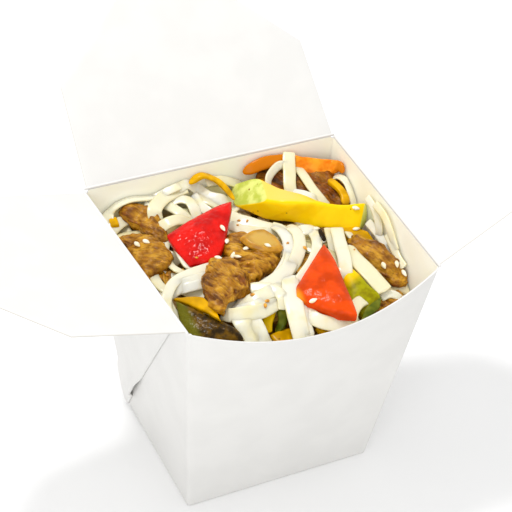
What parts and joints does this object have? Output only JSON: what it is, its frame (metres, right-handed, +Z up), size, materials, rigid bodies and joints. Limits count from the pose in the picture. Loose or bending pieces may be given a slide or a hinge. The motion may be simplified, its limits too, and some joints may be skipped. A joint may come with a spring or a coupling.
{
  "type": "filled noodle takeaway box",
  "caption": "Open tapered white board box with hinged lid flaps folded outwards, filled with a heap of flat ribbon noodles, beef strips, sweet pepper and onion.",
  "frame": {"origin": "centre of the underside of the carton's base", "axes": "+Z up, -Y towards the front wall, whose top edge is free and bowed; +X to the right seen from the front"},
  "size_m": [0.2228, 0.1447, 0.1463],
  "materials": {
    "board": "satin",
    "noodle": "satin",
    "red_pepper": "gloss",
    "orange_pepper": "gloss",
    "yellow_pepper": "gloss",
    "orange": "satin",
    "green_pepper": "gloss",
    "dark_green": "satin",
    "olive": "satin",
    "onion": "satin",
    "pale_onion": "satin",
    "beef": "satin",
    "sesame": "satin",
    "sauce": "gloss"
  },
  "bodies": {
    "box": {"carton": "board", "noodle_heap": "noodle", "red_pepper": "red_pepper", "orange_pepper": "orange_pepper", "yellow_pepper": "yellow_pepper", "beef_centre_front": "beef", "onion_slice": "onion", "beef_centre_back": "beef", "beef_upper_left": "beef", "beef_left": "beef", "beef_right": "beef", "orange_strip": "orange", "yellow_strip_back_left": "yellow_pepper", "yellow_strip_back_right": "yellow_pepper", "yellow_pepper_front_left": "yellow_pepper", "olive_pepper": "olive", "green_pepper": "green_pepper", "dark_green_leaf": "dark_green", "beef_front_right": "beef", "yellow_piece_right": "yellow_pepper", "beef_back": "beef", "onion_under_pepper": "onion", "onion_back_left": "pale_onion", "onion_left": "pale_onion", "beef_centre_right": "beef", "beef_low_left": "beef", "yellow_bit_left": "yellow_pepper", "yellow_strip_front": "yellow_pepper", "green_strip_front": "dark_green", "yellow_piece_front": "yellow_pepper", "yellow_piece_front_right": "yellow_pepper"},
    "left_flap": {"flap_left": "board"},
    "back_flap": {"flap_back": "board"},
    "right_flap": {"flap_right": "board"}
  },
  "joints": [
    {"name": "left_fold", "type": "hinge", "parent": "box", "child": "left_flap", "pos_m": [-0.0462, -0.0477, 0.0995], "axis": [-0.044, 0.999, 0], "range_deg": [-44.9, 165.1]},
    {"name": "back_fold", "type": "hinge", "parent": "box", "child": "back_flap", "pos_m": [-0.05, 0.0385, 0.1007], "axis": [1, 0, 0], "range_deg": [-71.9, 138.1]},
    {"name": "right_fold", "type": "hinge", "parent": "box", "child": "right_flap", "pos_m": [0.05, 0.0385, 0.1001], "axis": [-0.044, -0.999, 0], "range_deg": [-59.3, 150.7]}
  ]
}
